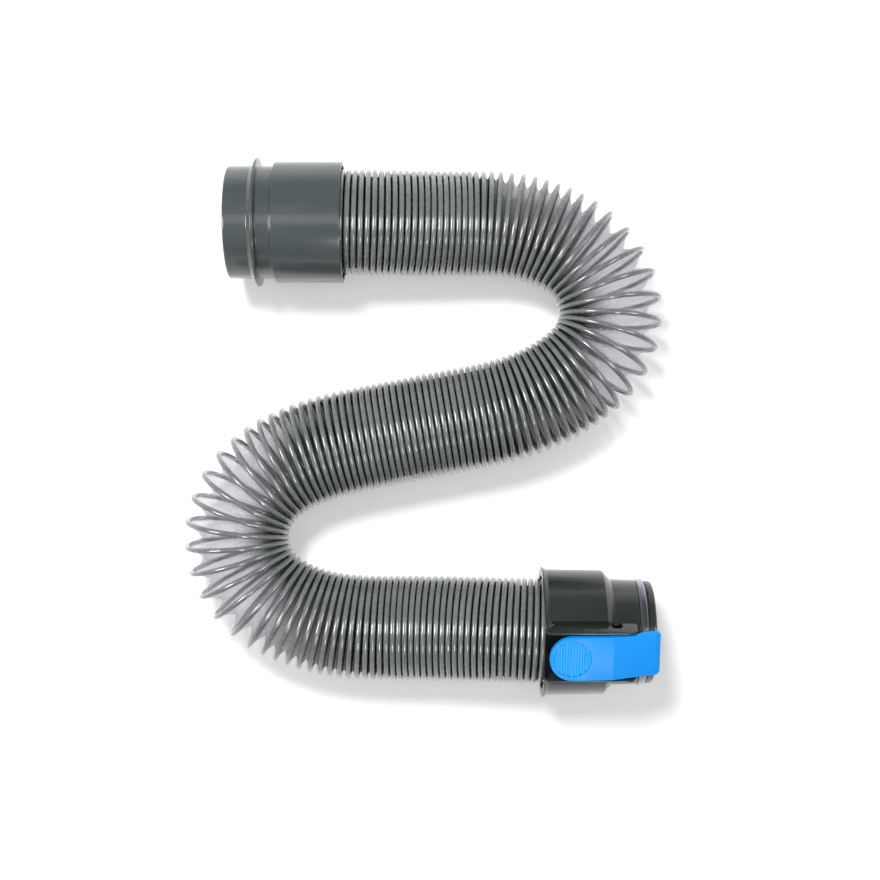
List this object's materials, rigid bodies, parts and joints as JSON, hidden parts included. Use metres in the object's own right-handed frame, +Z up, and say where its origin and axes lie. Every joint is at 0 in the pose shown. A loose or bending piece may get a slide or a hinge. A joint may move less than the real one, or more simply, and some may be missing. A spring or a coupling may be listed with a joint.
{
  "type": "stretch hose",
  "caption": "Wire-wound stretch hose with a clear film wall, a plain snap cuff on one end and a cuff with a press-to-release latch on the other.",
  "frame": {"origin": "midway between the two cuffs, on the surface that the hose lies on", "axes": "+Z up, X along both cuffs with the latch cuff towards +X, +Y from the latch cuff towards the plain cuff"},
  "size_m": [0.2254, 0.2516, 0.0649],
  "materials": {
    "hose": "glossy coated wire",
    "hose_film": "clear soft film",
    "cuff_grey": "glossy",
    "cuff_dark": "glossy",
    "collar_black": "moulded",
    "lever_blue": "satin",
    "seal_rubber": "smooth",
    "spring_steel": "plain"
  },
  "bodies": {
    "hose": {"hose_right_bend_a": "hose", "hose_middle_run": "hose", "hose_left_bend_a": "hose", "hose_left_bend_b": "hose", "hose_lower_run": "hose"},
    "upper_arm": {"hose_right_bend_b": "hose", "hose_upper_run": "hose"},
    "upper_end": {"upper_hose_collar": "collar_black"},
    "plain_cuff": {"plain_cuff": "cuff_grey", "plain_cuff_thrust_washer": "collar_black", "plain_cuff_snap_ring": "spring_steel"},
    "lower_end": {"lower_hose_collar": "collar_black"},
    "latch_cuff": {"latch_cuff": "cuff_dark", "latch_cuff_thrust_washer": "collar_black", "latch_cuff_snap_ring": "spring_steel", "nose_seal": "seal_rubber", "latch_leaf_spring": "spring_steel"},
    "latch": {"latch_lever": "lever_blue", "latch_pin_inner": "spring_steel", "latch_pin_outer": "spring_steel"}
  },
  "joints": [
    {"name": "bend_upper", "type": "hinge", "parent": "hose", "child": "upper_arm", "pos_m": [0.0548, 0.0534, 0.02465], "axis": [0, 0, 1], "range_deg": [-15, 12], "deforming": ["hose_right_bend_a", "hose_right_bend_b"]},
    {"name": "stretch_upper", "type": "slide", "parent": "upper_arm", "child": "upper_end", "axis": [-1, 0, 0], "range_m": [0, 0.13], "stiffness_N_per_m": 130, "deforming": ["hose_upper_run"]},
    {"name": "plain_cuff_swivel", "type": "hinge", "parent": "upper_end", "child": "plain_cuff", "pos_m": [-0.06, 0.09595, 0.0298], "axis": [1, 0, 0], "continuous": true},
    {"name": "stretch_lower", "type": "slide", "parent": "hose", "child": "lower_end", "axis": [1, 0, 0], "range_m": [0, 0.13], "stiffness_N_per_m": 130, "deforming": ["hose_lower_run"]},
    {"name": "latch_cuff_swivel", "type": "hinge", "parent": "lower_end", "child": "latch_cuff", "pos_m": [0.06, -0.09555, 0.0302], "axis": [1, 0, 0], "continuous": true},
    {"name": "latch_press", "type": "hinge", "parent": "latch_cuff", "child": "latch", "pos_m": [0.0792, -0.10181, 0.0544], "axis": [0, -0.9681, -0.2504], "range_deg": [0, 5], "stiffness_Nm_per_rad": 1, "springref_deg": -2.86, "deforming": ["latch_leaf_spring"]}
  ]
}
